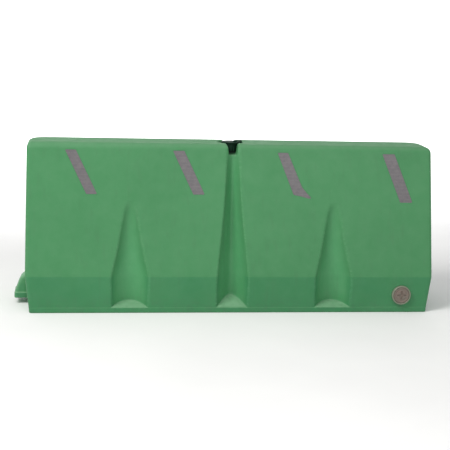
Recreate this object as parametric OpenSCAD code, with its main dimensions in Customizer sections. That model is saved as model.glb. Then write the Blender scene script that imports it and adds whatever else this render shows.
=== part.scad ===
// Water filled road barrier: one hollow moulded shell with a screw fill cap
// in a pocket on top and a screw drain plug low on the front face.
// Units are millimetres. The origin is on the ground at the middle of the base,
// X runs along the barrier, the front face looks toward -Y and Z is up.

/* [Body] */
// Overall length of the shell between its two end faces
body_l = 2000; // [1900:10:2100]
// Height of the shell
body_h = 810; // [780:5:840]
// Width across the lower band, at its widest
base_w = 510; // [480:5:540]
// Width across the top, measured where the sloped faces would meet the top plane
top_w = 236; // [220:2:260]
// Height of the line where the lower band meets the sloped face
break_z = 180; // [165:5:200]
// Height of the solid foot flange round the base
flange_h = 27; // [22:1:34]
// Thickness of the moulded wall
wall = 6; // [5:0.5:8]
// Radius of the rounded edge between the faces and the top
top_r = 30; // [22:1:36]
// Radius of the upright corners of the front face
corner_r = 16; // [12:1:30]
// Radius of the upright corners of the back face
back_corner_r = 85; // [60:5:100]
// How far each end face leans in from the break line to the top
end_lean = 4; // [0:1:12]
// How far each end face leans in at the ground
end_taper = 20; // [10:1:26]

/* [Flutes] */
// Distance from the middle flute to each side flute
flute_pitch = 500; // [470:5:530]
// Half width of a side flute at the break line
flute_half_w = 92; // [80:1:100]
// Depth of a side flute above its ledge
flute_depth = 62; // [50:2:80]
// Slope of the ledges at the feet of the side flutes, in degrees
ledge_slope = 20; // [10:1:30]
// Half width of the middle flute at the break line
mid_half_w = 75; // [66:1:86]
// Distance from the middle plane to the bottom of the middle flute, above its ledge
mid_core = 170; // [155:1:180]
// Slope of the ledge at the foot of the middle flute, in degrees
mid_ledge_slope = 31; // [15:1:40]

/* [Fill opening] */
// Diameter of the round pocket that holds the fill cap
pocket_d = 124; // [116:1:128]
// Depth of the pocket below the top
pocket_depth = 52; // [48:1:56]
// Width of the drain channel at the top face
channel_top_w = 66; // [60:1:80]
// Width of the drain channel below its flared edges
channel_neck_w = 49; // [46:1:54]
// Width of the drain channel at its floor
channel_floor_w = 38; // [34:1:44]
// Outside diameter of the filler neck tube
neck_od = 84; // [82:0.5:86]
// Bore of the filler neck
neck_bore = 72; // [70:0.5:74]
// Diameter of the flange disc of the cap
cap_disc_d = 90; // [88:1:96]
// Diameter of the drum of the cap
cap_drum_d = 80; // [78:1:84]
// Reach of the finger lug from the axis of the cap
cap_lug_r = 57; // [52:1:58]

/* [Drain opening] */
// Position of the drain along the barrier
drain_x = 845; // [820:1:870]
// Height of the drain axis
drain_z = 90; // [80:1:100]
// Outside diameter of the drain bush flange
drain_flange_d = 95; // [90:1:98]
// Bore of the drain bush
drain_bore = 50.6; // [48:0.2:52]
// Diameter of the head of the drain plug
plug_head_d = 78; // [74:1:79]

/* [Interlock] */
// How far the tongue stands out past the left end
tongue_reach = 58; // [50:1:62]
// Half width of the foot of the tongue
tongue_half_w = 68; // [60:1:72]
// Depth of the socket in the right end
socket_depth = 66; // [64:1:72]
// Half width of the socket
socket_half_w = 76; // [74:1:84]
// Height of the roof of the socket
socket_h = 166; // [160:1:175]

/* [Reflective stripes] */
// Width of the reflective tape
stripe_w = 52; // [45:1:60]
// Thickness of the reflective tape
stripe_t = 0.6; // [0.4:0.1:1]
// Depth of the moulded panel that takes the tape
stripe_recess = 1.6; // [1.2:0.1:2]

/* [Hidden] */

kz = body_h / 810;
hl = body_l / 2;
hb = base_w / 2;
ht = top_w / 2;
lean = atan((hb - ht) / (body_h - break_z));
eps = 0.01;

// half width of the moulding at height z below the rounded top edge
function face_hw(z) =
    z <= flange_h ? hb - 5 :
    z <= break_z ? hb - 6 + 6 * (z - flange_h) / (break_z - flange_h) :
    hb - (z - break_z) * tan(lean);
function face_hl(z) = z < break_z ? hl - end_taper * (1 - z / break_z)
    : hl - end_lean * (z - break_z) / (body_h - break_z);

// half width of a side flute, its depth, and the same for the middle flute
side_a = [[0, 88], [27, 88], [180, 92], [230, 80], [280, 68], [350, 54], [400, 46],
          [470, 33], [500, 26], [524, 12], [532, 6]];
side_d = [[0, 62], [180, 60], [230, 52], [280, 43], [350, 32], [400, 25],
          [470, 15], [500, 10], [524, 3], [532, 0]];
mid_a = [[0, 73], [27, 73], [153, 75], [180, 74], [236, 69], [318, 60.5], [401, 52],
         [483, 44], [565, 38], [650, 34], [731, 31], [810, 29]];
mid_v = [[0, 169], [27, 169], [105, 170], [180, 170], [236, 163], [318, 150], [401, 139], [483, 129],
         [565, 121], [650, 115], [731, 111], [758, 112], [787, 113], [810, 113]];
function sa(z) = lookup(z / kz, side_a) * flute_half_w / 92;
function sd(z) = lookup(z / kz, side_d) * flute_depth / 62;
function ma(z) = lookup(z / kz, mid_a) * mid_half_w / 75;
function mv(z) = lookup(z / kz, mid_v) + (mid_core - 170) * max(0, 1 - z / (300 * kz));

// columns of points across one flute, from edge to edge
cols = [-1, -0.82, -0.58, -0.3, 0, 0.3, 0.58, 0.82, 1];

function flute(i, z, hw, on, e) = [for (s = cols)
    let (a = (i == 0 ? ma(z) : sa(z)) + 1.5 * e,
         base = face_hw(min(z, body_h - top_r)),
         d = !on ? 0 :
             i == 0 ? max(0, hw - (mv(z) - e)) :
             sd(z) <= 0 ? 0 : max(0, hw - (base - sd(z) - e)))
    [i * flute_pitch + s * a,
     hw - min(d * (1 - pow(abs(s), i == 0 ? 1.45 : 2.2)),
              max(0, (z - flange_h + e) / tan(i == 0 ? mid_ledge_slope : ledge_slope)))]];

function face(z, hw, on, e) = concat(
    [[-1.5 * flute_pitch, hw]], flute(-1, z, hw, on, e),
    [[-0.5 * flute_pitch, hw]], flute(0, z, hw, on, e),
    [[0.5 * flute_pitch, hw]], flute(1, z, hw, on, e),
    [[1.5 * flute_pitch, hw]]);

function arc(cx, cy, r, a0, z, n = 4) = [for (k = [0 : n - 1])
    [cx + r * cos(a0 + 90 * k / (n - 1)), cy + r * sin(a0 + 90 * k / (n - 1)), z]];

// one closed level of the moulding: v = [z, half width, half length, corner radius, flutes on]
function level(v, e) =
    let (z = v[0], w = v[1], l = v[2], r = v[3], f = face(z, w, v[4], e), n = len(f))
    let (b = r + back_corner_r - corner_r)
    concat(arc(-l + r, -w + r, r, 180, z),
           [for (p = f) [p[0], -p[1], z]],
           arc(l - r, -w + r, r, 270, z),
           arc(l - b, w - b, b, 0, z, 7),
           [for (k = [n - 1 : -1 : 0]) [f[k][0], f[k][1], z]],
           arc(-l + b, w - b, b, 90, z, 7));

// a level without flutes, x from x0 to x1
function slab(z, x0, x1, w, r) = concat(
    arc(x0 + r, -w + r, r, 180, z, 5), arc(x1 - r, -w + r, r, 270, z, 5),
    arc(x1 - r, w - r, r, 0, z, 5), arc(x0 + r, w - r, r, 90, z, 5));

module loft(rings) {
    n = len(rings[0]);
    m = len(rings);
    polyhedron(
        points = [for (r = rings) for (p = r) p],
        faces = concat(
            [for (j = [0 : n / 2 - 2]) [j, j + 1, n - 2 - j, n - 1 - j]],
            [for (k = [0 : m - 2]) for (j = [0 : n - 1]) for (h = [0, 1])
                let (a = k * n + j, b = k * n + (j + 1) % n, c = a + n, d = b + n)
                h == 0 ? [a, c, b] : [b, c, d]],
            [for (j = [0 : n / 2 - 2]) let (t = (m - 1) * n)
                [t + n - 1 - j, t + n - 2 - j, t + j + 1, t + j]]),
        convexity = 12);
}

// centre of the rounding circle of the top edge, from the middle plane
edge_c = face_hw(body_h - top_r) - top_r / cos(lean);
round_steps = [0, 0.25, 0.5, 0.75, 1];
function edge_ring(t, e) =
    let (r = top_r - e, th = lean + (90 - lean) * t)
    [body_h - top_r + r * sin(th), edge_c + r * cos(th),
     face_hl(body_h - top_r) - top_r + r * cos(90 * t), max(6, corner_r - e - top_r * 0.2 * t), true];

outer_z = [33, 39, 45, 51, 62, 76, 105, 180, 230, 280, 350, 400, 435, 470, 500, 524, 532, 600, 758];
outer_rings = concat(
    [[0, hb - 5, hl - end_taper, corner_r, false],
     [flange_h - 1, hb - 5, face_hl(flange_h), corner_r, false],
     [flange_h + 1, hb - 6, face_hl(flange_h), corner_r, true]],
    [for (q = outer_z) let (z = q == 180 ? break_z : q * kz)
        [z, face_hw(z), face_hl(z), corner_r, true]],
    [for (t = round_steps) edge_ring(t, 0)]);
inner_z = [22, 33, 45, 60, 76, 105, 180, 230, 280, 350, 400, 470, 500, 532, 758];
inner_rings = concat(
    [[wall, hb - 5 - wall, face_hl(flange_h) - wall, corner_r - wall, true]],
    [for (q = inner_z) let (z = q == 180 ? break_z : q * kz)
        [z, face_hw(z) - wall / cos(lean), face_hl(z) - wall, corner_r - wall, true]],
    [for (t = round_steps) edge_ring(t, wall)]);

pocket_z = body_h - pocket_depth;
seat_y = -(hb - 1);

module channel(e) {
    f = channel_floor_w / 2 + e;
    n = channel_neck_w / 2 + e;
    t = channel_top_w / 2 + 1.6 * e;
    translate([0, 300, 0]) rotate([90, 0, 0]) linear_extrude(height = 600)
        polygon([[-f, pocket_z - e], [f, pocket_z - e], [n, body_h - 14], [t, body_h + 1],
                 [t, body_h + 9], [-t, body_h + 9], [-t, body_h + 1], [-n, body_h - 14]]);
}

module tongue(e) {
    x = -hl;
    loft([slab(29 + e, x - tongue_reach + e, x + 60, tongue_half_w - e, 18),
          slab(54 - e / 2, x - tongue_reach + e, x + 60, tongue_half_w - e, 18),
          slab(60 - e / 2, x - tongue_reach + 10 + e, x + 60, tongue_half_w - 8 - e, 18),
          slab(100 - e / 2, x - 37 + e, x + 60, tongue_half_w - 14 - e, 18),
          slab(125 - e / 2, x - 27 + e, x + 60, tongue_half_w - 21 - e, 17),
          slab(141 - e, x - 12 + e, x + 60, tongue_half_w - 31 - e, 15),
          slab(151 - e, x + 8 + e, x + 60, tongue_half_w - 44 - e, 10)]);
}

module socket(e) {
    translate([hl - socket_depth - e, -socket_half_w - e, -5])
        cube([socket_depth + 40, 2 * (socket_half_w + e), socket_h + 5 + e]);
}

// axis of the drain, pointing out of the front face
module at_drain(y) {
    translate([drain_x, y, drain_z]) rotate([90, 0, 0]) children();
}

// stripe positions: top edge centre, bottom edge centre, top height, bottom height, extra width
stripes = [[-788, -685, 777, 569, 0], [-267, -167, 778, 571, 4],
           [245, 328, 775, 571, 0], [776, 867, 775, 541, 10]];

// the third stripe on the front widens downward and has a pulled tail at its lower right corner,
// listed as x and height; the last number moves the point outward when the outline grows
tailed = [[219, 775, -1, 1], [299, 574, -1, -1], [339, 566, 0, -1], [372, 557, 0, -1], [386, 557, 1, -1],
          [384, 563, 1, 1], [364, 584, 1, 1], [341, 611, 1, 0.6], [271, 775, 1, 1]];

module stripe_plate(i, grow, t, back, side) {
    s = stripes[i];
    w = (stripe_w + s[4]) / 2 + grow;
    v1 = (s[2] * kz - break_z) / cos(lean) + grow;
    v0 = (s[3] * kz - break_z) / cos(lean) - grow;
    translate([0, -hb, break_z]) rotate([-lean, 0, 0]) translate([0, back, 0])
        rotate([90, 0, 0]) linear_extrude(height = t)
            polygon(i == 2 && side == 0
                ? [for (p = tailed) [p[0] + p[2] * grow, (p[1] * kz - break_z) / cos(lean) + p[3] * grow]]
                : [[s[0] - w, v1], [s[1] - w, v0], [s[1] + w, v0], [s[0] + w, v1]]);
}

module stripe(i, side) {
    color([0.47, 0.46, 0.47])
        rotate([0, 0, side == 0 ? 0 : 180]) stripe_plate(i, 0, stripe_t, stripe_recess, side);
}

module barrier_shell() {
    color([0.33, 0.57, 0.39]) difference() {
        union() {
            loft([for (v = outer_rings) level(v, 0)]);
            tongue(0);
            // flat seat for the drain bush
            at_drain(-hb + 20) cylinder(h = 19, d = drain_flange_d + 11, $fn = 96);
        }
        difference() {
            union() {
                loft([for (v = inner_rings) level(v, wall)]);
                tongue(wall);
            }
            channel(wall);
            translate([0, 0, pocket_z - wall]) cylinder(h = 200, d = pocket_d + 2 * wall, $fn = 96);
            socket(wall);
            at_drain(-hb + 20) cylinder(h = 60, d = drain_flange_d - 7, $fn = 96);
        }
        channel(0);
        translate([0, 0, pocket_z]) cylinder(h = 200, d = pocket_d, $fn = 96);
        translate([0, 0, pocket_z - 60]) cylinder(h = 100, d = neck_od, $fn = 96);
        socket(0);
        at_drain(-hb + 80) cylinder(h = 120, d = 64, $fn = 96);
        for (i = [0 : 3]) for (side = [0, 1])
            rotate([0, 0, 180 * side]) stripe_plate(i, 1.5, 6, stripe_recess, side);
    }
}

module fill_neck() {
    color([0.30, 0.50, 0.35]) translate([0, 0, pocket_z]) difference() {
        union() {
            cylinder(h = 4, d = neck_od + 16, $fn = 96);
            translate([0, 0, -22]) cylinder(h = 24, d = neck_od, $fn = 96);
        }
        translate([0, 0, -30]) cylinder(h = 50, d = neck_bore, $fn = 96);
    }
}

module fill_cap_seal() {
    color([0.10, 0.10, 0.10]) translate([0, 0, pocket_z + 4.1]) difference() {
        cylinder(h = 2.8, d = cap_drum_d - 1, $fn = 96);
        translate([0, 0, -1]) cylinder(h = 6, d = neck_bore + 1, $fn = 96);
    }
}

module fill_cap() {
    color([0.06, 0.07, 0.07]) translate([0, 0, pocket_z]) difference() {
        union() {
            translate([0, 0, -22]) cylinder(h = 36, d = neck_bore - 0.8, $fn = 96);
            translate([0, 0, 7]) cylinder(h = 44, d = cap_drum_d, $fn = 96);
            translate([0, 0, 47]) cylinder(h = 7, d = cap_disc_d, $fn = 96);
            // finger lug that stands on the right of the disc and reaches past its rim
            translate([0, 8, 0]) rotate([90, 0, 0]) linear_extrude(height = 16)
                polygon([[4, 51], [22, 61], [cap_lug_r, 61], [cap_lug_r, 47],
                         [cap_drum_d / 2 + 8, 42], [cap_drum_d / 2 - 4, 40]]);
        }
        translate([0, 0, -30]) cylinder(h = 70, d = neck_bore - 12, $fn = 96);
        // grip flutes round the drum
        for (a = [0 : 30 : 330]) rotate([0, 0, a + 15])
            translate([cap_drum_d / 2 + 2.2, 0, 11]) cylinder(h = 26, d = 9, $fn = 32);
    }
}

module drain_bush() {
    color([0.55, 0.60, 0.52]) at_drain(seat_y) difference() {
        union() {
            cylinder(h = 14, d = drain_flange_d, $fn = 96);
            translate([0, 0, -32]) cylinder(h = 34, d = 64, $fn = 96);
        }
        translate([0, 0, -40]) cylinder(h = 70, d = drain_bore, $fn = 96);
        translate([0, 0, 4]) cylinder(h = 20, d = plug_head_d + 2.6, $fn = 96);
    }
}

module drain_plug_seal() {
    color([0.08, 0.08, 0.08]) at_drain(seat_y - 4.1) difference() {
        cylinder(h = 2.3, d = plug_head_d - 4, $fn = 96);
        translate([0, 0, -1]) cylinder(h = 6, d = drain_bore + 0.6, $fn = 96);
    }
}

module drain_plug() {
    color([0.45, 0.42, 0.38]) at_drain(seat_y) difference() {
        union() {
            translate([0, 0, -26]) cylinder(h = 34, d = drain_bore - 0.8, $fn = 96);
            translate([0, 0, 6.5]) cylinder(h = 6.5, d = plug_head_d, $fn = 96);
        }
        // hollow shank and a cross recess for a turning bar
        translate([0, 0, -30]) cylinder(h = 32, d = drain_bore - 12, $fn = 96);
        for (a = [0, 90]) rotate([0, 0, a]) translate([-21, -4, 7.5]) cube([42, 8, 10]);
        translate([0, 0, 7.5]) cylinder(h = 10, d = 22, $fn = 64);
    }
}

barrier_shell();
fill_neck();
fill_cap_seal();
fill_cap();
drain_bush();
drain_plug_seal();
drain_plug();
stripe(0, 0);  // front_stripe_1
stripe(1, 0);  // front_stripe_2
stripe(2, 0);  // front_stripe_3
stripe(3, 0);  // front_stripe_4
stripe(0, 1);  // back_stripe_1
stripe(1, 1);  // back_stripe_2
stripe(2, 1);  // back_stripe_3
stripe(3, 1);  // back_stripe_4
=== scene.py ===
import math
import bpy
import bmesh
import numpy as np
from mathutils import Matrix, Vector


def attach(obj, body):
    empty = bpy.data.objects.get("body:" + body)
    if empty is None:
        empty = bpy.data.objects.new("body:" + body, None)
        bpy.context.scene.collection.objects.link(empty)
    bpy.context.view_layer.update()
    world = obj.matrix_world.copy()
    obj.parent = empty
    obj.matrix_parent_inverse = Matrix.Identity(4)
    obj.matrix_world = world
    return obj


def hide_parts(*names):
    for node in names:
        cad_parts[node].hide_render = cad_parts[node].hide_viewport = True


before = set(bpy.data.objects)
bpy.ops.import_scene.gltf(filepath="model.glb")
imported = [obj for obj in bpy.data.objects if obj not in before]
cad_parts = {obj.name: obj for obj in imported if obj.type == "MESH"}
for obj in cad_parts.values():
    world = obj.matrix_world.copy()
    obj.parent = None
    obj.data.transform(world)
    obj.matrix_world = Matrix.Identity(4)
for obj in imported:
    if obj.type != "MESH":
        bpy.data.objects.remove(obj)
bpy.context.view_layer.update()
MM = 0.001

# ---------------------------------------------------------------- dimensions, millimetres
BODY_L, BODY_H, BASE_W, TOP_W = 2000.0, 810.0, 510.0, 236.0
BREAK_Z, FLANGE_H, WALL, TOP_R, CORNER_R, BACK_R, END_TAPER = 180.0, 27.0, 6.0, 30.0, 16.0, 85.0, 20.0
PITCH = 500.0
HL, HB, HT = BODY_L / 2, BASE_W / 2, TOP_W / 2
TANL = (HB - HT) / (BODY_H - BREAK_Z)
LEAN = math.atan(TANL)
POCKET_Z = BODY_H - 52.0
SEAT_Y = -(HB - 1.0)
DRAIN_X, DRAIN_Z, DRAIN_D = 845.0, 90.0, 95.0


# ---------------------------------------------------------------- the moulding as a distance field
def table(points, sigma):
    """Values over height z, one per millimetre, rounded off by a Gaussian sigma millimetres wide."""
    z = np.arange(-60.0, 900.0, 1.0)
    v = np.interp(z, [p[0] for p in points], [p[1] for p in points])
    if sigma > 0:
        n = int(4 * sigma)
        k = np.exp(-0.5 * (np.arange(-n, n + 1) / sigma) ** 2)
        k /= k.sum()
        v = np.convolve(np.pad(v, n, mode="edge"), k, mode="valid")
    return z, v


def at(t, z):
    return np.interp(z, t[0], t[1])


T_W = table([[-60, HB - 6], [FLANGE_H, HB - 6], [BREAK_Z, HB + 0.3], [900, HB - TANL * (900 - BREAK_Z)]], 6.0)
T_L = table([[-60, HL - END_TAPER], [0, HL - END_TAPER], [BREAK_Z, HL], [900, HL - 4 * 720 / 630]], 8.0)
T_SA = table([[0, 88], [27, 88], [180, 92], [230, 80], [280, 68], [350, 54], [400, 46], [470, 33],
              [500, 26], [524, 14], [540, 10]], 9.0)
T_SD = table([[0, 62], [180, 60], [230, 52], [280, 43], [350, 32], [400, 25], [470, 15], [500, 10],
              [524, 3], [545, -6], [600, -30]], 9.0)
T_MA = table([[0, 73], [27, 73], [153, 75], [180, 74], [236, 69], [318, 60.5], [401, 52],
              [483, 44], [565, 38], [650, 34], [731, 31], [810, 29]], 12.0)
T_MV = table([[0, 169], [27, 169], [105, 170], [180, 170], [236, 163], [318, 150], [401, 139], [483, 129],
              [565, 121], [650, 115], [731, 111], [758, 112], [787, 113], [810, 113]], 12.0)
T_TX = table([[20, 58], [56, 58], [57, 54], [100, 39], [125, 27], [141, 12], [151, -8], [175, -80]], 1.2)
T_TY = table([[20, 68], [56, 68], [57, 64], [100, 55], [125, 47], [141, 37], [151, 24], [175, -20]], 1.2)
T_CH = table([[0, 19], [POCKET_Z, 19], [BODY_H - 14, 24.5], [BODY_H + 1, 31], [BODY_H + 9, 32]], 1.5)


def rmax(a, b, r):
    """Intersection of two fields, with the edge between them rounded to radius r."""
    u, v = np.maximum(a + r, 0), np.maximum(b + r, 0)
    return np.minimum(np.maximum(a, b), -r) + np.sqrt(u * u + v * v)


def rmin(a, b, r):
    return -rmax(-a, -b, r)


def flute_y(x, z, which):
    """Distance from the middle plane to the surface of a flute; outside the flute it climbs away from the wall."""
    w = at(T_W, z)
    if which == 0:
        a, d, p = at(T_MA, z), w - at(T_MV, z), 1.45
        r = np.abs(x)
    else:
        a, d, p = at(T_SA, z), at(T_SD, z), 2.2
        r = np.abs(np.abs(x) - PITCH)
    s = np.minimum(r / a, 1.0)
    q = (s * s + 0.03) ** (p / 2) - 0.03 ** (p / 2)
    return w - np.where(d > 0, d * (1 - q), d) + np.maximum(d * p / a, 0.6) * np.maximum(r - a, 0)


def flute_field(x, ay, z, which):
    h = 1.0
    y0 = flute_y(x, z, which)
    gx = (flute_y(x + h, z, which) - y0) / h
    gz = (flute_y(x, z + h, which) - y0) / h
    return (y0 - ay) / np.sqrt(1 + gx * gx + gz * gz)


def body_field(x, y, z):
    """Signed distance to the outer surface of the moulding, negative inside."""
    ay, ax = np.abs(y), np.abs(x)
    w = at(T_W, z)
    lean = at(T_W, z + 1) - w
    fw = (ay - w) / np.sqrt(1 + lean * lean)
    fe = ax - at(T_L, z)
    ft = z - BODY_H
    r = TOP_R
    plan = np.where(y < 0, rmax(fw, fe, CORNER_R), rmax(fw, fe, BACK_R))
    f = rmax(plan, ft, r)
    # foot flange, a little proud of the band above it
    fa, fb = ay - (HB - 4.6), ax - (HL - END_TAPER + 1.2)
    foot = rmax(np.where(y < 0, rmax(fa, fb, CORNER_R), rmax(fa, fb, BACK_R)), z - (FLANGE_H - 0.5), 1.2)
    # the flutes end on sloping ledges above the flange
    for which in (1, 0):
        g = flute_field(x, ay, z, which)
        slope = math.radians(20.0 if which else 31.0)
        g = rmax(g, (FLANGE_H + 0.5 - z) * math.cos(slope) + (w - ay) * math.sin(slope), 4.0)
        f = rmax(f, -g, 6.0)
    f = np.minimum(f, foot)
    # flat seat for the drain bush
    rd = np.hypot(x - DRAIN_X, z - DRAIN_Z) - (DRAIN_D + 11) / 2
    f = rmin(f, rmax(np.maximum(rd, SEAT_Y - y), y + 235.0, 1.0), 4.0)
    # tongue on the left end
    tx = -(x + HL + at(T_TX, z))
    ty = ay - at(T_TY, z)
    rr = 10.0
    u, v = np.maximum(tx + rr, 0), np.maximum(ty + rr, 0)
    tg = np.minimum(np.maximum(tx, ty), -rr) + np.sqrt(u * u + v * v)
    slope = np.sqrt(1 + ((at(T_TX, z + 1) - at(T_TX, z - 1)) / 2) ** 2)
    tg = rmax(tg / np.maximum(slope, 1), 29.0 - z, 2.0)
    tg = rmax(tg, x + HL - 60, 1.0)
    f = rmin(f, tg, 9.0)
    # channel and round pocket in the top
    ch = rmax((ax - at(T_CH, z)) / 1.06, POCKET_Z - z, 6.0)
    pk = rmax(np.hypot(x, y) - 62.0, POCKET_Z - z, 5.0)
    f = rmax(f, -rmin(ch, pk, 4.0), 5.0)
    # socket in the right end
    sk = rmax(rmax(934.0 - x, ay - 76.0, 10.0), z - 166.0, 12.0)
    f = rmax(f, -sk, 5.0)
    return rmax(f, -z, 4.0)


def axis(parts, k):
    out = [parts[0][0]]
    for lo, hi, step in parts:
        n = max(2, int(round((hi - lo) / (step * k))))
        out += list(lo + (hi - lo) * np.arange(1, n + 1) / n)
    return np.array(out)


def surface_nets(fun, xs, ys, zs):
    """A closed quad mesh of the field's zero level on an uneven grid."""
    nx, ny, nz = len(xs), len(ys), len(zs)
    F = np.empty((nx, ny, nz), np.float32)
    Yg, Zg = np.meshgrid(ys, zs, indexing="ij")
    for i0 in range(0, nx, 16):
        i1 = min(nx, i0 + 16)
        Xb = xs[i0:i1, None, None] + 0 * Yg[None]
        F[i0:i1] = fun(Xb, np.broadcast_to(Yg[None], Xb.shape), np.broadcast_to(Zg[None], Xb.shape))
    F[np.abs(F) < 1e-4] = 1e-4
    neg = F < 0
    cells = (nx - 1, ny - 1, nz - 1)
    size = cells[0] * cells[1] * cells[2]
    ids, pts, quads = [], [], []
    co = (xs, ys, zs)
    for ax in range(3):
        a, b = [slice(None)] * 3, [slice(None)] * 3
        a[ax], b[ax] = slice(0, -1), slice(1, None)
        na, nb = neg[tuple(a)], neg[tuple(b)]
        cross = na != nb
        idx = np.argwhere(cross)
        fa, fb = F[tuple(a)][cross], F[tuple(b)][cross]
        P = np.stack([co[k][idx[:, k]] for k in range(3)], 1)
        P[:, ax] += fa / (fa - fb) * (co[ax][idx[:, ax] + 1] - co[ax][idx[:, ax]])
        o1, o2 = [k for k in range(3) if k != ax]
        cell = []
        for d1 in (-1, 0):
            for d2 in (-1, 0):
                c = idx.copy()
                c[:, o1] += d1
                c[:, o2] += d2
                lin = np.ravel_multi_index(c.T, cells)
                cell.append(lin)
                ids.append(lin)
                pts.append(P)
        q = np.stack([cell[0], cell[2], cell[3], cell[1]], 1)
        flip = na[cross] if ax != 1 else ~na[cross]
        q[~flip] = q[~flip][:, ::-1]
        quads.append(q)
    ids, pts, quads = np.concatenate(ids), np.concatenate(pts), np.concatenate(quads)
    used, inv = np.unique(ids, return_inverse=True)
    n = np.bincount(inv)
    V = np.stack([np.bincount(inv, pts[:, k]) / n for k in range(3)], 1)
    remap = np.full(size, -1, np.int64)
    remap[used] = np.arange(len(used))
    return V, remap[quads]


def gradient(fun, V, h=0.4):
    x, y, z = V.T
    return np.stack([fun(x + h, y, z) - fun(x - h, y, z), fun(x, y + h, z) - fun(x, y - h, z),
                     fun(x, y, z + h) - fun(x, y, z - h)], 1) / (2 * h)


def project(fun, V, steps=4, cap=3.0):
    for _ in range(steps):
        f = fun(*V.T)
        g = gradient(fun, V)
        n2 = np.maximum((g * g).sum(1), 0.05)
        step = -(f / n2)[:, None] * g
        ln = np.linalg.norm(step, axis=1, keepdims=True)
        V = V + step * np.minimum(1, cap / np.maximum(ln, 1e-9))
    return V


def make_object(name, V, faces, smooth=True):
    """V in millimetres."""
    me = bpy.data.meshes.new(name)
    V = np.asarray(V, float) * MM
    if isinstance(faces, np.ndarray):
        n, k = faces.shape
        me.vertices.add(len(V))
        me.vertices.foreach_set("co", V.astype(np.float32).ravel())
        me.loops.add(n * k)
        me.loops.foreach_set("vertex_index", faces.astype(np.int32).ravel())
        me.polygons.add(n)
        me.polygons.foreach_set("loop_start", np.arange(0, n * k, k, dtype=np.int32))
        me.update(calc_edges=True)
    else:
        me.from_pydata([tuple(v) for v in V], [], [tuple(int(i) for i in f) for f in faces])
        me.update()
    me.validate()
    ob = bpy.data.objects.new(name, me)
    bpy.context.scene.collection.objects.link(ob)
    if smooth:
        me.shade_smooth()
    return ob


def outward(ob):
    bm = bmesh.new()
    bm.from_mesh(ob.data)
    bmesh.ops.recalc_face_normals(bm, faces=bm.faces)
    if bm.calc_volume(signed=True) < 0:
        bmesh.ops.reverse_faces(bm, faces=bm.faces)
    bm.to_mesh(ob.data)
    bm.free()
    return ob


def bake_modifiers(ob):
    bpy.context.view_layer.update()
    dg = bpy.context.evaluated_depsgraph_get()
    me = bpy.data.meshes.new_from_object(ob.evaluated_get(dg))
    old = ob.data
    ob.modifiers.clear()
    me.name = ob.name
    ob.data = me
    bpy.data.meshes.remove(old)
    return ob


def boolean(ob, tools, op="DIFFERENCE"):
    for i, t in enumerate(tools):
        m = ob.modifiers.new("cut%d" % i, "BOOLEAN")
        m.operation = op
        m.solver = "MANIFOLD"
        m.object = t
    bake_modifiers(ob)
    for t in tools:
        bpy.data.objects.remove(t)
    return ob


def bevel(ob, width, segments=3, angle=30):
    m = ob.modifiers.new("bevel", "BEVEL")
    m.width = width * MM
    m.segments = segments
    m.limit_method = "ANGLE"
    m.angle_limit = math.radians(angle)
    m.harden_normals = False
    return bake_modifiers(ob)


def crisp(ob, deg=40):
    ob.data.shade_smooth()
    ob.data.set_sharp_from_angle(angle=math.radians(deg))
    return ob


# ---------------------------------------------------------------- turned parts with screw threads
def trap(u, half_base, half_top):
    """Thread form: 1 on the crest, 0 beyond the base, straight flanks; u in turns, centred on 0.5."""
    d = np.abs(u - 0.5)
    return np.clip((half_base - d) / (half_base - half_top), 0, 1)


def lathe(name, profile, n, radius=None, closed=True):
    """Turns [(r, z, tag)] about local Z. radius(r, z, tag, angle) returns the real radius at each angle."""
    th = 2 * np.pi * np.arange(n) / n
    V, F, rows = [], [], []
    for r, z, tag in profile:
        if r <= 1e-6:
            rows.append([len(V)])
            V.append((0.0, 0.0, z))
            continue
        rr = radius(r, z, tag, th) if radius else np.full(n, r)
        rows.append(list(range(len(V), len(V) + n)))
        V += list(zip(rr * np.cos(th), rr * np.sin(th), np.full(n, z)))
    pairs = list(zip(rows[:-1], rows[1:]))
    if closed:
        pairs.append((rows[-1], rows[0]))
    for a, b in pairs:
        if len(a) == 1 and len(b) == 1:
            continue
        for i in range(n):
            j = (i + 1) % n
            if len(a) == 1:
                F.append((a[0], b[j], b[i]))
            elif len(b) == 1:
                F.append((a[i], a[j], b[0]))
            else:
                F.append((a[i], a[j], b[j], b[i]))
    return outward(make_object(name, V, F))


def arc_pts(cx, cz, r, a0, a1, n=4, tag=0):
    return [(cx + r * math.cos(math.radians(a0 + (a1 - a0) * k / n)),
             cz + r * math.sin(math.radians(a0 + (a1 - a0) * k / n)), tag) for k in range(n + 1)]


def rows_between(r, z0, z1, step, tag):
    n = max(1, int(round(abs(z1 - z0) / step)))
    return [(r, z0 + (z1 - z0) * k / n, tag) for k in range(n + 1)]


def place(ob, matrix):
    ob.data.transform(matrix)
    ob.data.update()
    return ob


TOP_FRAME = Matrix.Translation((0, 0, POCKET_Z * MM))
DRAIN_FRAME = Matrix.Translation((DRAIN_X * MM, SEAT_Y * MM, DRAIN_Z * MM)) @ Matrix.Rotation(math.radians(90), 4, "X")


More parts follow.
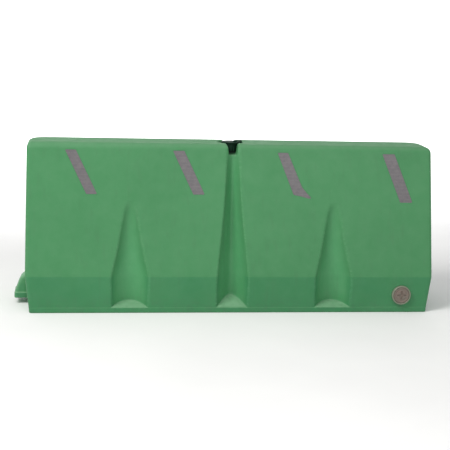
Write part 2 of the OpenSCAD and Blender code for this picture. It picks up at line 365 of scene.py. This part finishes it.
def round_poly(points, radii, n=5):
    """Rounds the corners of a polygon; radii is one number or one per corner."""
    pts = [np.array(p, float) for p in points]
    out = []
    for i, p in enumerate(pts):
        r = radii if np.isscalar(radii) else radii[i]
        a, b = pts[i - 1] - p, pts[(i + 1) % len(pts)] - p
        la, lb = np.linalg.norm(a), np.linalg.norm(b)
        a, b = a / la, b / lb
        ang = math.acos(max(-1, min(1, float(a @ b))))
        t = min(r / math.tan(ang / 2), 0.45 * la, 0.45 * lb)
        rr = t * math.tan(ang / 2)
        c = p + (a + b) / np.linalg.norm(a + b) * (rr / math.sin(ang / 2))
        p0, p1 = p + a * t - c, p + b * t - c
        w0, w1 = math.atan2(p0[1], p0[0]), math.atan2(p1[1], p1[0])
        d = (w1 - w0 + math.pi) % (2 * math.pi) - math.pi
        for k in range(n + 1):
            w = w0 + d * k / n
            out.append(c + rr * np.array([math.cos(w), math.sin(w)]))
    return np.array(out)


def prism(name, outline, to_world, n0, n1):
    """A closed prism of a flat outline between two offsets along the plane's normal."""
    k = len(outline)
    V = [to_world(p[0], p[1], n0) for p in outline] + [to_world(p[0], p[1], n1) for p in outline]
    F = [tuple(range(k - 1, -1, -1)), tuple(range(k, 2 * k))]
    F += [(i, (i + 1) % k, k + (i + 1) % k, k + i) for i in range(k)]
    return outward(make_object(name, V, F, smooth=False))


# ---------------------------------------------------------------- reflective panels
STRIPES = [(-788, -685, 777, 569, 0), (-267, -167, 778, 571, 4), (245, 328, 775, 571, 0), (776, 867, 775, 541, 10)]
TAILED = [(219, 775, -1, 1), (299, 574, -1, -1), (339, 566, 0, -1), (372, 557, 0, -1), (386, 557, 1, -1),
          (384, 563, 1, 1), (364, 584, 1, 1), (341, 611, 1, 0.6), (271, 775, 1, 1)]


def wall_point(side):
    sl, cl = math.sin(LEAN), math.cos(LEAN)

    def to_world(x, v, n):
        p = (x, -HB + v * sl - n * cl, BREAK_Z + v * cl + n * sl)
        return p if side == 0 else (-p[0], -p[1], p[2])
    return to_world


def stripe_outline(i, side, grow, r):
    if i == 2 and side == 0:
        pts = [(x + gx * grow, (z - BREAK_Z) / math.cos(LEAN) + gz * grow) for x, z, gx, gz in TAILED]
        return round_poly(pts, [r, r + 4, 8, 4, 1, 1, 8, 14, r])
    xt, xb, zt, zb, extra = STRIPES[i]
    w = (52 + extra) / 2 + grow
    v1 = (zt - BREAK_Z) / math.cos(LEAN) + grow
    v0 = (zb - BREAK_Z) / math.cos(LEAN) - grow
    return round_poly([(xt - w, v1), (xb - w, v0), (xb + w, v0), (xt + w, v1)], r)


# ---------------------------------------------------------------- build the shell
k = 1.0
xs = axis([(-1072, -948, 5.0), (-948, -612, 14.0), (-612, -388, 6.0), (-388, -90, 14.0), (-90, 90, 3.8),
           (90, 388, 14.0), (388, 612, 6.0), (612, 780, 14.0), (780, 916, 5.5), (916, 1012, 5.5)], k)
ys = axis([(-268, -70, 6.5), (-70, 70, 4.4), (70, 268, 6.5)], k)
zs = axis([(-8, 4, 3.0), (4, 20, 4.0), (20, 36, 1.7), (36, 62, 3.4), (62, 160, 8.5), (160, 204, 4.5), (204, 545, 9.0),
           (545, 740, 13.0), (740, 818, 3.8)], min(k, 1.4))
V, Q = surface_nets(body_field, xs, ys, zs)
V = project(body_field, V)
shell = make_object("moulded_shell", V, Q)

tools = []
cx = axis([(-1070, 1010, 15.0)], 1)
cy = axis([(-266, 266, 14.0)], 1)
cz = axis([(-4, 60, 7.0), (60, 740, 15.0), (740, 816, 7.0)], 1)
hollow = lambda x, y, z: body_field(x, y, z) + WALL
V2, Q2 = surface_nets(hollow, cx, cy, cz)
V2 = project(hollow, V2)
tools.append(make_object("cavity_tool", V2, Q2))
tools.append(place(lathe("neck_hole", [(0, -60, 0), (42.1, -60, 0), (42.1, 30, 0), (0, 30, 0)], 128, closed=False), TOP_FRAME))
tools.append(place(lathe("drain_hole", [(0, -60, 0), (32.1, -60, 0), (32.1, 30, 0), (0, 30, 0)], 128, closed=False), DRAIN_FRAME))
for side in (0, 1):
    for i in range(4):
        tools.append(prism("recess_%d_%d" % (side, i), stripe_outline(i, side, 1.5, 5.0), wall_point(side), -1.6, 6.0))
boolean(shell, tools)
crisp(shell, 42)

# wear mask, and a painted crease-shade mask that darkens concave folds, from the curvature of the moulding
me = shell.data
co = np.empty(len(me.vertices) * 3, np.float32)
me.vertices.foreach_get("co", co)
P = co.reshape(-1, 3).astype(float) / MM
H = 7.0
x, y, z = P.T
f0 = body_field(x, y, z)
lap = (body_field(x + H, y, z) + body_field(x - H, y, z) + body_field(x, y + H, z) + body_field(x, y - H, z)
       + body_field(x, y, z + H) + body_field(x, y, z - H) - 6 * f0) / (H * H)
lap = np.where(np.abs(f0) < 3, lap, 0)
edge = np.clip((lap - 0.02) / 0.09, 0, 1)
crease_shade_val = np.clip((-lap - 0.012) / 0.06, 0, 1)
for name, val in (("wear_edge", edge), ("crease_shade", crease_shade_val)):
    at_ = me.attributes.new(name, "FLOAT", "POINT")
    at_.data.foreach_set("value", val.astype(np.float32))
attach(shell, "barrier")
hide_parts("barrier_shell")

# ---------------------------------------------------------------- filler neck
NECK_P = 6.0


def neck_radius(r, z, tag, th):
    if tag == 1:
        u = (z / NECK_P - th / (2 * np.pi)) % 1.0
        return 36.0 + 2.2 * trap(u, 0.33, 0.18)
    return np.full(len(th), float(r))


prof = (arc_pts(49.0, 3.0, 1.0, 90, 0) + [(50, 0.3, 0), (49.7, 0, 0), (42.6, 0, 0), (42, -0.6, 0), (42, -21.4, 0), (41.4, -22, 0),
        (39.2, -22, 0)] + rows_between(36, -21.6, 2.6, 0.5, 1) + [(37.9, 4.0, 0), (44, 4.0, 0)])
neck = place(lathe("filler_neck", prof, 160, neck_radius), TOP_FRAME)
crisp(neck, 45)
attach(neck, "barrier")
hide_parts("fill_neck")

# ---------------------------------------------------------------- fill cap
CAP_Z0, CAP_Z1 = -19.5, 4.5


def cap_radius(r, z, tag, th):
    if tag == 1:
        u = (z / NECK_P - th / (2 * np.pi)) % 1.0
        fade = np.clip(min(z - CAP_Z0, CAP_Z1 - z) / 1.6, 0, 1)
        return 35.2 + 2.3 * fade * trap(u, 0.2, 0.09)
    if tag == 2:
        ph = (th - math.radians(15) + math.radians(15)) % math.radians(30) - math.radians(15)
        R, c = 42.2, 4.5
        s = R * np.sin(ph)
        cut = np.where(np.abs(s) < c, R * np.cos(ph) - np.sqrt(np.maximum(c * c - s * s, 0)), 99)
        fade = np.clip(min(z - 11, 38 - z) / 1.2, 0, 1)
        return np.minimum(r, r + (np.minimum(cut, r) - r) * fade)
    return np.full(len(th), float(r))


prof = ([(0, 52.4, 0), (12, 52.4, 0), (24, 52.5, 0), (35, 52.6, 0), (37.5, 52.9, 0), (38.6, 53.7, 0), (39.6, 54.0, 0), (42.6, 54.0, 0)]
        + arc_pts(43.2, 52.2, 1.8, 80, 0, 4) + arc_pts(43.4, 48.6, 1.6, 0, -90, 4)
        + [(41.6, 47.0, 0), (40.6, 46.5, 0), (40.0, 45.4, 0), (39.6, 43.6, 0)]
        + rows_between(40, 38.4, 10.6, 1.2, 2) + [(39.6, 9.4, 0), (39.9, 8.8, 0), (39.3, 7.4, 0), (38.4, 7.0, 0), (36.4, 7.0, 0),
           (35.3, 6.6, 0), (35.2, 5.4, 0)]
        + rows_between(35.2, CAP_Z1, CAP_Z0, 0.5, 1)
        + [(35.0, -20.6, 0), (34.0, -22.0, 0), (31.4, -22.0, 0), (30.2, -21.2, 0), (30, -20, 0), (30, 37, 0), (29, 39.2, 0), (26.5, 40, 0), (0, 40, 0)])
cap = lathe("fill_cap_moulding", prof, 288, cap_radius, closed=False)


def lug_plane(x, v, n):
    return (x, -n, v)


lug = prism("lug", round_poly([(4, 51), (22, 60.8), (56.8, 60.8), (56.8, 47.2), (48, 42.2), (36, 40.2)], [1, 6, 3.0, 4, 3, 2], 5), lug_plane, -8, 8)
bevel(lug, 1.6, 3, 50)
slot_cut = prism("lug_slot", round_poly([(30, 55.6), (30, 58.4), (53.0, 58.4), (53.0, 55.6)], 1.3, 4), lug_plane, -12, 12)
boolean(lug, [slot_cut])
boolean(cap, [lug], "UNION")
place(cap, TOP_FRAME)
crisp(cap, 38)
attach(cap, "fill_cap_body")
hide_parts("fill_cap")


# ---------------------------------------------------------------- seals
def ring(name, r0, r1, z0, z1, c, matrix, body, node):
    prof = (arc_pts(r1 - c, z1 - c, c, 90, 0) + arc_pts(r1 - c, z0 + c, c, 0, -90)
            + arc_pts(r0 + c, z0 + c, c, 270, 180) + arc_pts(r0 + c, z1 - c, c, 180, 90))
    ob = crisp(place(lathe(name, prof, 128), matrix), 60)
    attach(ob, body)
    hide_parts(node)
    return ob


cap_seal = ring("cap_seal_ring", 36.6, 39.4, 4.15, 6.9, 1.1, TOP_FRAME, "fill_seal_carrier", "fill_cap_seal")
plug_seal = ring("plug_seal_ring", 25.8, 36.9, 4.15, 6.4, 1.0, DRAIN_FRAME, "drain_seal_carrier", "drain_plug_seal")

# ---------------------------------------------------------------- drain bush and plug
BUSH_P = 5.0


def bush_radius(r, z, tag, th):
    if tag == 1:
        u = (z / BUSH_P - th / (2 * np.pi)) % 1.0
        return 25.3 + 1.7 * trap(u, 0.33, 0.18)
    return np.full(len(th), float(r))


prof = ([(40.4, 4.4, 0), (40.4, 12.6, 0), (40.9, 13.6, 0), (41.9, 14.0, 0), (43.2, 14.0, 0)] + arc_pts(43.4, 9.9, 4.1, 85, 0, 6)
        + [(47.5, 0.5, 0), (47.1, 0, 0), (32.8, 0, 0), (32.0, -0.6, 0), (32.0, -31.2, 0), (31.2, -32, 0), (28.2, -32, 0)]
        + rows_between(25.3, -31.4, 3.0, 0.5, 1) + [(26.9, 4.0, 0), (39.8, 4.0, 0)])
bush = crisp(place(lathe("drain_bush_moulding", prof, 160, bush_radius), DRAIN_FRAME), 45)
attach(bush, "barrier")
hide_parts("drain_bush")


def plug_radius(r, z, tag, th):
    if tag == 1:
        u = (z / BUSH_P - th / (2 * np.pi)) % 1.0
        fade = np.clip(min(z + 24.0, 3.0 - z) / 1.4, 0, 1)
        return 24.6 + 1.9 * fade * trap(u, 0.2, 0.09)
    if tag == 2:
        ph = (th + math.radians(7.5)) % math.radians(15) - math.radians(7.5)
        return r - 0.7 * np.exp(-(ph / math.radians(2.0)) ** 2)
    return np.full(len(th), float(r))


prof = ([(0, 12.4, 0), (26.5, 12.4, 0), (27.0, 12.0, 0), (28.2, 11.7, 0), (29.4, 12.0, 0), (30, 12.5, 0), (34.5, 12.8, 0), (36.6, 13.0, 0)]
        + [(p[0], p[1], 2) for p in arc_pts(37.2, 11.2, 1.8, 85, 0, 4)] + [(39.0, 8.0, 2), (38.4, 6.8, 0), (37.6, 6.5, 0), (25.2, 6.5, 0),
           (24.6, 5.9, 0), (24.6, 4.0, 0)]
        + rows_between(24.6, 3.0, -24.0, 0.5, 1)
        + [(24.4, -25.2, 0), (23.6, -26.0, 0), (20.4, -26.0, 0), (19.4, -25.2, 0), (19.3, -24, 0), (19.3, 1.0, 0), (18.2, 2.0, 0), (0, 2.0, 0)])
plug = lathe("drain_plug_moulding", prof, 192, plug_radius, closed=False)


def face_plane(x, v, n):
    return (x, v, n)


bars = []
for a in (0, 90):
    o = round_poly([(-21, -4), (21, -4), (21, 4), (-21, 4)], 1.6, 4)
    c, s = math.cos(math.radians(a)), math.sin(math.radians(a))
    bars.append(prism("bar%d" % a, [(p[0] * c - p[1] * s, p[0] * s + p[1] * c) for p in o], face_plane, 7.5, 20))
bars.append(lathe("well", [(0, 7.52, 0), (11, 7.52, 0), (11, 20, 0), (0, 20, 0)], 96, closed=False))
boolean(plug, bars)
bevel(plug, 0.45, 2, 62)
crisp(place(plug, DRAIN_FRAME), 40)
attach(plug, "drain_plug_body")
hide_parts("drain_plug")

# ---------------------------------------------------------------- reflective tapes
tapes = []
for side, word in ((0, "front"), (1, "back")):
    for i in range(4):
        ob = prism("%s_tape_%d" % (word, i + 1), stripe_outline(i, side, 0.0, 3.5), wall_point(side), -1.6, -1.0)
        crisp(ob, 30)
        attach(ob, "barrier")
        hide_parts("%s_stripe_%d" % (word, i + 1))
        tapes.append(ob)


# ---------------------------------------------------------------- materials
class Nodes:
    """Small helper for procedural node materials."""

    def __init__(self, name):
        self.mat = bpy.data.materials.new(name)
        self.mat.use_nodes = True
        self.nt = self.mat.node_tree
        self.nt.nodes.clear()
        self.out = self.nt.nodes.new("ShaderNodeOutputMaterial")
        self.bsdf = self.nt.nodes.new("ShaderNodeBsdfPrincipled")
        self.nt.links.new(self.bsdf.outputs[0], self.out.inputs[0])
        self.coord = self.nt.nodes.new("ShaderNodeTexCoord").outputs["Object"]

    def link(self, a, b):
        self.nt.links.new(a, b)

    def put(self, node, key, val):
        s = node.inputs[key]
        if hasattr(val, "is_output"):
            self.link(val, s)
        else:
            s.default_value = val

    def mapped(self, scale, rot=(0, 0, 0)):
        m = self.nt.nodes.new("ShaderNodeMapping")
        m.inputs["Scale"].default_value = scale
        m.inputs["Rotation"].default_value = rot
        self.link(self.coord, m.inputs["Vector"])
        return m.outputs[0]

    def noise(self, scale, detail=3.0, rough=0.55, vec=None, distort=0.0):
        n = self.nt.nodes.new("ShaderNodeTexNoise")
        n.inputs["Scale"].default_value = scale
        n.inputs["Detail"].default_value = detail
        n.inputs["Roughness"].default_value = rough
        n.inputs["Distortion"].default_value = distort
        self.link(vec or self.coord, n.inputs["Vector"])
        return n.outputs["Fac"]

    def voronoi(self, scale, feature="F1", vec=None, rand=1.0):
        n = self.nt.nodes.new("ShaderNodeTexVoronoi")
        n.feature = feature
        n.inputs["Scale"].default_value = scale
        n.inputs["Randomness"].default_value = rand
        self.link(vec or self.coord, n.inputs["Vector"])
        return n.outputs["Distance"]

    def remap(self, val, a, b, c=0.0, d=1.0, smooth=False):
        n = self.nt.nodes.new("ShaderNodeMapRange")
        if smooth:
            n.interpolation_type = "SMOOTHSTEP"
        for k_, v_ in (("Value", val), ("From Min", a), ("From Max", b), ("To Min", c), ("To Max", d)):
            self.put(n, k_, v_)
        return n.outputs["Result"]

    def math(self, op, a, b=0.0, clamp=False):
        n = self.nt.nodes.new("ShaderNodeMath")
        n.operation = op
        n.use_clamp = clamp
        self.put(n, 0, a)
        self.put(n, 1, b)
        return n.outputs[0]

    def mix(self, fac, a, b, mode="MIX"):
        n = self.nt.nodes.new("ShaderNodeMix")
        n.data_type = "RGBA"
        n.blend_type = mode
        self.put(n, 0, fac)
        for idx, v_ in ((6, a), (7, b)):
            s = n.inputs[idx]
            if hasattr(v_, "is_output"):
                self.link(v_, s)
            else:
                s.default_value = tuple(v_) + (1.0,) if len(v_) == 3 else v_
        return n.outputs[2]

    def attribute(self, name):
        n = self.nt.nodes.new("ShaderNodeAttribute")
        n.attribute_name = name
        return n.outputs["Fac"]

    def height(self):
        n = self.nt.nodes.new("ShaderNodeSeparateXYZ")
        self.link(self.coord, n.inputs[0])
        return n.outputs

    def bump(self, *layers):
        prev = None
        for val, strength, dist in layers:
            n = self.nt.nodes.new("ShaderNodeBump")
            n.inputs["Strength"].default_value = strength
            n.inputs["Distance"].default_value = dist
            self.link(val, n.inputs["Height"])
            if prev is not None:
                self.link(prev, n.inputs["Normal"])
            prev = n.outputs[0]
        self.link(prev, self.bsdf.inputs["Normal"])


def polyethylene(name, base, dark, light, soil_and_shade, masks):
    m = Nodes(name)
    big = m.remap(m.noise(2.3, 4.0, 0.5), 0.3, 0.7, 0.0, 1.0, True)
    mid = m.remap(m.noise(17.0, 5.0, 0.6), 0.35, 0.7)
    fine = m.noise(420.0, 2.0, 0.6)
    col = m.mix(m.math("MULTIPLY", big, 0.55), base, dark)
    col = m.mix(m.math("MULTIPLY", mid, 0.16), col, light)
    col = m.mix(m.remap(fine, 0.3, 0.75, 0.0, 0.12), col, dark)
    rough = m.remap(m.noise(9.0, 4.0, 0.6), 0.3, 0.75, 0.40, 0.54)
    # light dust specks
    speck = m.remap(m.noise(95.0, 4.0, 0.75), 0.62, 0.80, 0.0, 0.35)
    col = m.mix(speck, col, light)
    if masks:
        edge_, crease_shade_mask = m.attribute("wear_edge"), m.attribute("crease_shade")
        scuff = m.remap(m.noise(38.0, 6.0, 0.7, m.mapped((1.0, 1.0, 2.5))), 0.46, 0.66)
        col = m.mix(m.math("MULTIPLY", m.math("MULTIPLY", edge_, scuff), 0.42), col, light)
        # painted shade: concave folds and fillets are darkened towards the soil colour, standing in for the shade that
        # falls in them
        crease_shade_mottle = m.remap(m.noise(26.0, 5.0, 0.65), 0.3, 0.7, 0.25, 1.0)
        col = m.mix(m.math("MULTIPLY", m.math("MULTIPLY", crease_shade_mask, crease_shade_mottle), 0.08), col, soil_and_shade)
        ground = m.remap(m.height()[2], 0.0, 0.13, 1.0, 0.0, True)
        splash = m.remap(m.noise(34.0, 7.0, 0.72), 0.42, 0.66)
        col = m.mix(m.math("MULTIPLY", m.math("MULTIPLY", ground, splash), 0.34), col, soil_and_shade)
        # dust on what faces up; below the break line the film is much lighter, a painted highlight for the top light
        # the up-facing ledges catch
        geo = m.nt.nodes.new("ShaderNodeNewGeometry")
        sep = m.nt.nodes.new("ShaderNodeSeparateXYZ")
        m.link(geo.outputs["Normal"], sep.inputs[0])
        flat = m.remap(sep.outputs[2], 0.35, 0.93, 0.0, 1.0, True)
        dust_and_light_amt = m.remap(m.noise(21.0, 5.0, 0.65), 0.25, 0.7, 0.45, 0.85)
        # painted highlight: the low ledges and the flange top get the much lighter film
        ledge_light_mask = m.remap(m.height()[2], 0.17, 0.25, 1.0, 0.0)
        dust_and_ledge_light = m.mix(ledge_light_mask, (0.110, 0.272, 0.138), (0.200, 0.400, 0.235))
        col = m.mix(m.math("MULTIPLY", flat, dust_and_light_amt), col, dust_and_ledge_light)
        # painted shade: the lower band's outer faces are darkened below the break line, standing in for the shade they
        # get from facing the light less than the wall above
        band = m.remap(m.height()[2], 0.1775, 0.1815, 1.0, 0.0)
        band_shade_mottle = m.remap(m.noise(7.0, 4.0, 0.6), 0.3, 0.7, 0.55, 1.0)
        band_shade_col = m.mix(1.0, col, (0.72, 0.92, 0.93), "MULTIPLY")
        up = m.remap(sep.outputs[2], 0.15, 0.3, 1.0, 0.0)
        here = m.height()
        face = m.remap(m.math("ABSOLUTE", here[1]), 0.222, 0.244, 0.0, 1.0)
        face = m.math("MAXIMUM", face, m.remap(m.math("ABSOLUTE", here[0]), 0.955, 0.975, 0.0, 1.0))
        up = m.math("MULTIPLY", up, face)
        col = m.mix(m.math("MULTIPLY", m.math("MULTIPLY", band, band_shade_mottle), up), col, band_shade_col)
        # painted light: the flutes are lightened against the walls, standing in for the light their shade takes away
        slant = m.math("MULTIPLY", m.math("MAXIMUM", m.math("SUBTRACT", here[2], 0.18), 0.0), 0.2175)
        deep = m.math("SUBTRACT", m.math("SUBTRACT", 0.2545, slant), m.math("ABSOLUTE", here[1]))
        flute_light = m.math("MULTIPLY", m.remap(deep, 0.006, 0.040), m.remap(here[2], 0.74, 0.77, 1.0, 0.0))
        flute_light = m.math("MULTIPLY", flute_light, m.remap(m.math("ABSOLUTE", here[0]), 0.68, 0.70, 1.0, 0.0))
        col = m.mix(m.math("MULTIPLY", flute_light, m.remap(sep.outputs[2], 0.4, 0.7, 1.0, 0.0)), col, m.mix(1.0, col, (1.24, 1.22, 1.28), "MULTIPLY"))
        # the tongue is coloured lighter than the walls
        faded = m.math("MULTIPLY", m.remap(here[0], -1.014, -1.006, 1.0, 0.0), 0.75)
        col = m.mix(faded, col, m.mix(1.0, col, (1.42, 1.24, 1.36), "MULTIPLY"))
        # faint run marks down the walls
        runs = m.remap(m.noise(11.0, 3.0, 0.5, m.mapped((4.0, 4.0, 0.35))), 0.55, 0.75, 0.0, 0.13)
        col = m.mix(runs, col, soil_and_shade)
        rough = m.math("ADD", rough, m.math("MULTIPLY", crease_shade_mask, 0.12))
        rough = m.math("ADD", rough, m.math("MULTIPLY", flat, 0.28))
    m.put(m.bsdf, "Base Color", col)
    m.put(m.bsdf, "Roughness", rough)
    m.bsdf.inputs["IOR"].default_value = 1.5
    m.bsdf.inputs["Specular IOR Level"].default_value = 0.30
    m.bump((m.noise(3.2, 2.0, 0.4), 0.35, 0.010), (m.noise(260.0, 3.0, 0.6), 0.22, 0.0006), (m.noise(900.0, 2.0, 0.6), 0.10, 0.0003))
    return m.mat


def moulded(name, base, other, spots=None, rough=(0.32, 0.5), scale=60.0, bump=0.0003, amount=0.6):
    m = Nodes(name)
    col = m.mix(m.math("MULTIPLY", m.remap(m.noise(scale, 5.0, 0.62), 0.32, 0.7), amount), base, other)
    if spots is not None:
        col = m.mix(m.remap(m.noise(scale * 3.2, 5.0, 0.7), 0.56, 0.70, 0.0, 0.8), col, spots)
    m.put(m.bsdf, "Base Color", col)
    m.put(m.bsdf, "Roughness", m.remap(m.noise(scale * 1.7, 4.0, 0.6), 0.3, 0.7, rough[0], rough[1]))
    m.bsdf.inputs["IOR"].default_value = 1.5
    m.bump((m.noise(scale * 9, 3.0, 0.6), 0.25, bump), (m.noise(scale * 1.3, 3.0, 0.5), 0.2, bump * 3))
    return m.mat


def tape_material(name):
    m = Nodes(name)
    cells = m.voronoi(270.0, "DISTANCE_TO_EDGE", None, 0.22)
    web = m.remap(cells, 0.03, 0.12, 1.0, 0.0)
    cloud = m.remap(m.noise(42.0, 6.0, 0.68), 0.36, 0.66)
    warm = m.remap(m.noise(75.0, 5.0, 0.7), 0.40, 0.64)
    col = m.mix(cloud, (0.101, 0.091, 0.103), (0.143, 0.124, 0.134))
    col = m.mix(m.math("MULTIPLY", warm, 0.30), col, (0.105, 0.128, 0.112))
    col = m.mix(m.math("MULTIPLY", web, 0.35), col, (0.20, 0.19, 0.195))
    col = m.mix(m.remap(m.noise(210.0, 4.0, 0.8), 0.62, 0.75, 0.0, 0.7), col, (0.06, 0.05, 0.055))
    m.put(m.bsdf, "Base Color", col)
    m.put(m.bsdf, "Roughness", m.remap(m.noise(60.0, 4.0, 0.6), 0.3, 0.7, 0.30, 0.46))
    m.bsdf.inputs["IOR"].default_value = 1.52
    m.bump((web, 0.25, 0.0002), (m.noise(20.0, 3.0, 0.5), 0.5, 0.0010))
    return m.mat


GREEN = (0.058, 0.234, 0.091)
mats = {
    "shell": polyethylene("shell_polyethylene", GREEN, (0.045, 0.200, 0.075), (0.120, 0.300, 0.152), (0.060, 0.120, 0.066), True),
    "neck": polyethylene("neck_polyethylene", (0.014, 0.052, 0.026), (0.010, 0.040, 0.020), (0.030, 0.075, 0.042), (0.02, 0.04, 0.025), False),
    "cap": moulded("cap_black_plastic", (0.003, 0.020, 0.010), (0.006, 0.034, 0.018), None, (0.5, 0.7), 55.0, 0.0003),
    "seal": moulded("seal_black_rubber", (0.016, 0.016, 0.016), (0.030, 0.029, 0.028), None, (0.55, 0.75), 80.0, 0.0002),
    "bush": moulded("bush_faded_plastic", (0.175, 0.205, 0.145), (0.225, 0.215, 0.165), (0.13, 0.13, 0.095), (0.30, 0.48), 70.0, 0.0003, 0.8),
    "plug": moulded("plug_faded_plastic", (0.180, 0.128, 0.102), (0.140, 0.135, 0.112), (0.18, 0.080, 0.065), (0.34, 0.5), 60.0, 0.0004, 0.9),
    "tape": tape_material("reflective_tape_film"),
}
mats["cap"].node_tree.nodes["Principled BSDF"].inputs["Specular IOR Level"].default_value = 0.2
for ob, key in [(shell, "shell"), (neck, "neck"), (cap, "cap"), (cap_seal, "seal"), (plug_seal, "seal"),
                (bush, "bush"), (plug, "plug")] + [(t, "tape") for t in tapes]:
    ob.data.materials.clear()
    ob.data.materials.append(mats[key])

# ---------------------------------------------------------------- floor, light, camera
bm = bmesh.new()
bmesh.ops.create_grid(bm, x_segments=2, y_segments=2, size=30.0)
fm = bpy.data.meshes.new("studio_floor")
bm.to_mesh(fm)
bm.free()
floor = bpy.data.objects.new("studio_floor", fm)
bpy.context.scene.collection.objects.link(floor)
fl = Nodes("floor_paper")
fcol = fl.mix(fl.remap(fl.noise(1.2, 3.0, 0.5), 0.3, 0.7), (0.86, 0.86, 0.86), (0.90, 0.90, 0.90))
fl.put(fl.bsdf, "Base Color", fcol)
fl.put(fl.bsdf, "Roughness", fl.remap(fl.noise(6.0, 2.0, 0.5), 0.3, 0.7, 0.85, 0.95))
fl.bsdf.inputs["Specular IOR Level"].default_value = 0.1
floor.data.materials.append(fl.mat)

backdrop = make_object("studio_backdrop", [(-30000, 14000, -10), (30000, 14000, -10), (30000, 14000, 9000), (-30000, 14000, 9000)],
                       [(0, 1, 2, 3)], smooth=False)
bd = Nodes("backdrop_paper")
bcol = bd.mix(bd.remap(bd.noise(0.4, 2.0, 0.5), 0.3, 0.7), (0.93, 0.93, 0.93), (0.96, 0.96, 0.96))
bd.put(bd.bsdf, "Base Color", bcol)
bd.put(bd.bsdf, "Roughness", bd.remap(bd.noise(3.0, 2.0, 0.5), 0.3, 0.7, 0.85, 0.95))
backdrop.data.materials.append(bd.mat)

world = bpy.data.worlds.new("studio")
bpy.context.scene.world = world
world.use_nodes = True
world.node_tree.nodes["Background"].inputs[0].default_value = (1.0, 1.0, 1.0, 1.0)
world.node_tree.nodes["Background"].inputs[1].default_value = 0.50


def area(name, loc, target, size_x, size_y, watts, colour=(1, 1, 1)):
    ld = bpy.data.lights.new(name, "AREA")
    ld.shape = "RECTANGLE"
    ld.size, ld.size_y, ld.energy, ld.color = size_x, size_y, watts, colour
    lo = bpy.data.objects.new(name, ld)
    bpy.context.scene.collection.objects.link(lo)
    lo.location = loc
    lo.rotation_euler = (Vector(target) - Vector(loc)).to_track_quat("-Z", "Y").to_euler()
    return lo


area("key_soft", (-3.4, -2.9, 5.0), (0, 0, 0.45), 2.4, 2.4, 275, (1.0, 0.985, 0.96))
area("front_fill", (1.5, -5.5, 3.2), (0, 0, 0.3), 3.0, 2.0, 60)
area("paper_light", (0, 5.0, 6.0), (0, 13.0, 0.5), 12.0, 3.0, 1500)

scene = bpy.context.scene
scene.view_settings.view_transform = "Standard"
yaw, pitch, roll = math.radians(7.348), math.radians(11.083), math.radians(1.764)
fwd = Vector((math.sin(yaw) * math.cos(pitch), math.cos(yaw) * math.cos(pitch), -math.sin(pitch)))
right = Vector((math.cos(yaw), -math.sin(yaw), 0))
up = right.cross(fwd)
r2 = math.cos(roll) * right + math.sin(roll) * up
u2 = -math.sin(roll) * right + math.cos(roll) * up
cam_data = bpy.data.cameras.new("view")
cam_data.sensor_width = 36.0
cam_data.lens = 1189.6 * 36.0 / 450.0
cam_data.shift_x = -0.6 / 450.0
cam_data.shift_y = 0.4 / 450.0
cam_data.clip_end = 100.0
cam = bpy.data.objects.new("view", cam_data)
scene.collection.objects.link(cam)
cam.matrix_world = Matrix(((r2.x, u2.x, -fwd.x, -0.763144), (r2.y, u2.y, -fwd.y, -5.834051),
                           (r2.z, u2.z, -fwd.z, 1.538195), (0, 0, 0, 1)))
scene.camera = cam
